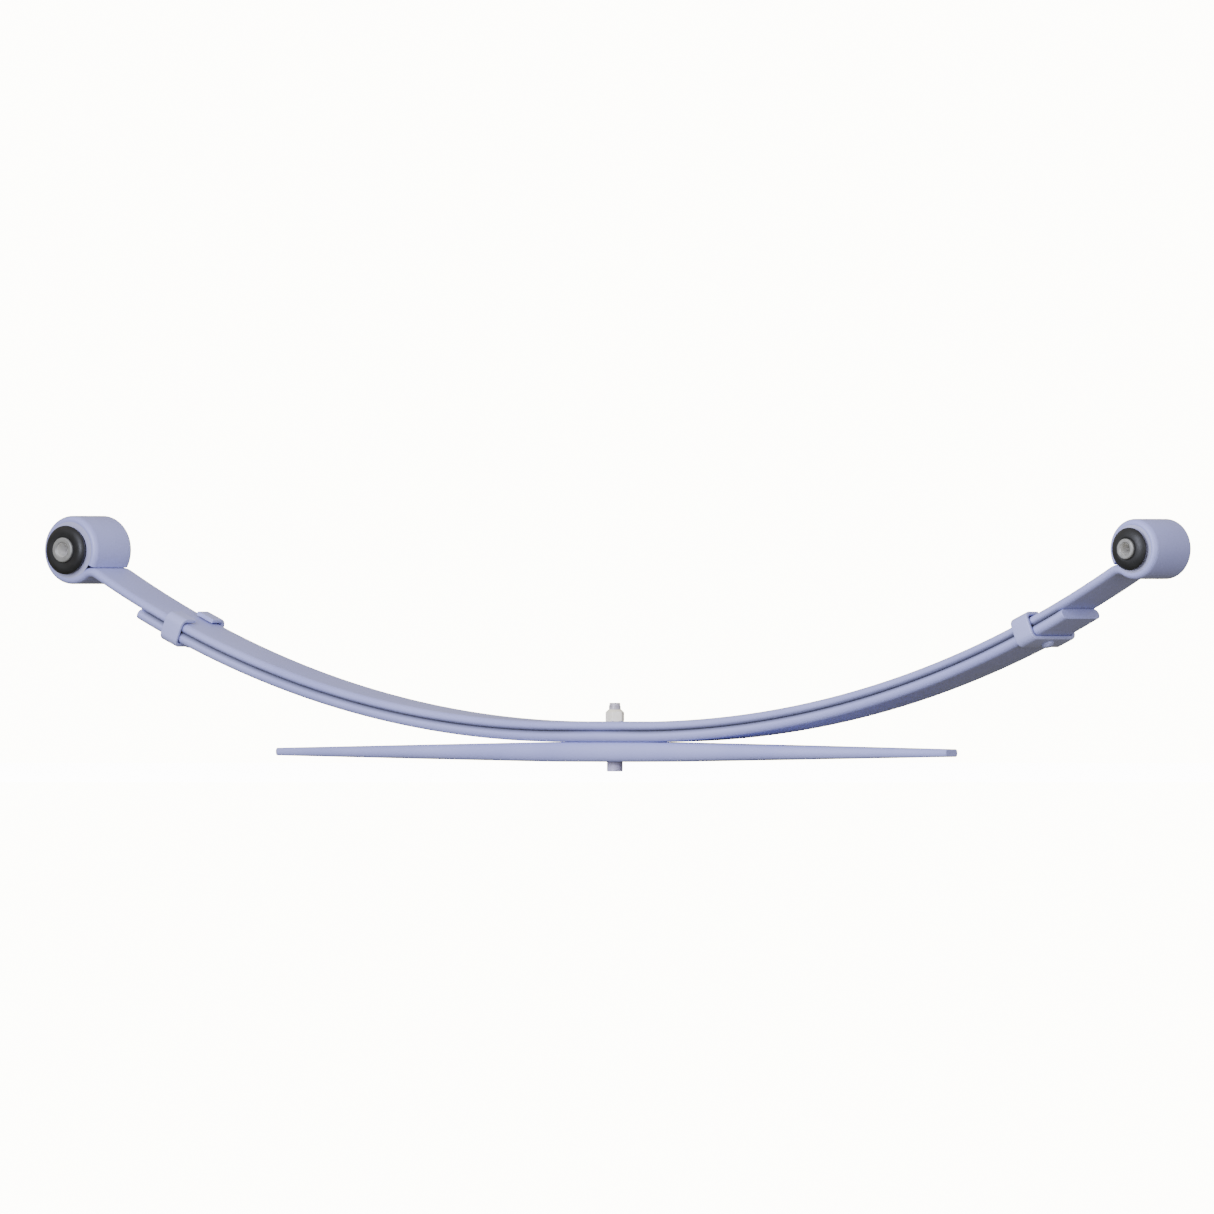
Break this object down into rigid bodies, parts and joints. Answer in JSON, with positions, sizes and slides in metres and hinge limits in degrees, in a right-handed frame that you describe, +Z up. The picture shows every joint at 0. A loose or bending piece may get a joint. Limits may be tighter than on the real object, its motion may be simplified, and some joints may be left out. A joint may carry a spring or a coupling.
{
  "type": "leaf spring",
  "caption": "Two-stage automotive leaf spring: cambered leaves with rolled, bushed eyes, rebound clips and a centre bolt over a tapered overload leaf.",
  "frame": {"origin": "on the centre bolt's axis, on the underside of the overload leaf, where the spring sits on the axle's spring seat", "axes": "+X along the spring towards the rear, smaller eye; +Y across the leaves, along the eyes' axes; +Z up along the centre bolt, the way the eyes curve"},
  "size_m": [1.4245, 0.084, 0.2565],
  "materials": {
    "leaf_paint": "satin powder coat",
    "clip_paint": "satin powder coat",
    "shell_paint": "satin powder coat",
    "bolt_paint": "satin powder coat",
    "nut_plate": "dull zinc plate",
    "sleeve_steel": "turned, bare",
    "bush_rubber": "moulded, dull"
  },
  "bodies": {
    "seat": {"main_leaf": "leaf_paint", "second_leaf": "leaf_paint", "overload_leaf": "leaf_paint", "centre_bolt": "bolt_paint", "centre_nut": "nut_plate"},
    "front_arm": {"front_clip": "clip_paint", "front_clip_rivet": "clip_paint", "front_bush_shell": "shell_paint", "front_bush_rubber": "bush_rubber"},
    "rear_arm": {"rear_clip": "clip_paint", "rear_clip_rivet": "clip_paint", "rear_bush_shell": "shell_paint", "rear_bush_rubber": "bush_rubber"},
    "front_sleeve": {"front_bush_sleeve": "sleeve_steel"},
    "rear_sleeve": {"rear_bush_sleeve": "sleeve_steel"}
  },
  "joints": [
    {"name": "front_flex", "type": "hinge", "parent": "seat", "child": "front_arm", "pos_m": [-0.206, 0, 0.041], "axis": [0, -1, 0], "range_deg": [0, 16], "stiffness_Nm_per_rad": 4100, "deforming": ["main_leaf", "second_leaf"]},
    {"name": "rear_flex", "type": "hinge", "parent": "seat", "child": "rear_arm", "pos_m": [0.206, 0, 0.041], "axis": [0, 1, 0], "range_deg": [0, 16], "stiffness_Nm_per_rad": 4100, "deforming": ["main_leaf", "second_leaf"]},
    {"name": "front_bush_turn", "type": "hinge", "parent": "front_arm", "child": "front_sleeve", "pos_m": [-0.68, 0, 0.21244], "axis": [0, 1, 0], "range_deg": [-25, 25], "stiffness_Nm_per_rad": 86},
    {"name": "rear_bush_turn", "type": "hinge", "parent": "rear_arm", "child": "rear_sleeve", "pos_m": [0.68, 0, 0.21244], "axis": [0, 1, 0], "range_deg": [-25, 25], "stiffness_Nm_per_rad": 86}
  ]
}
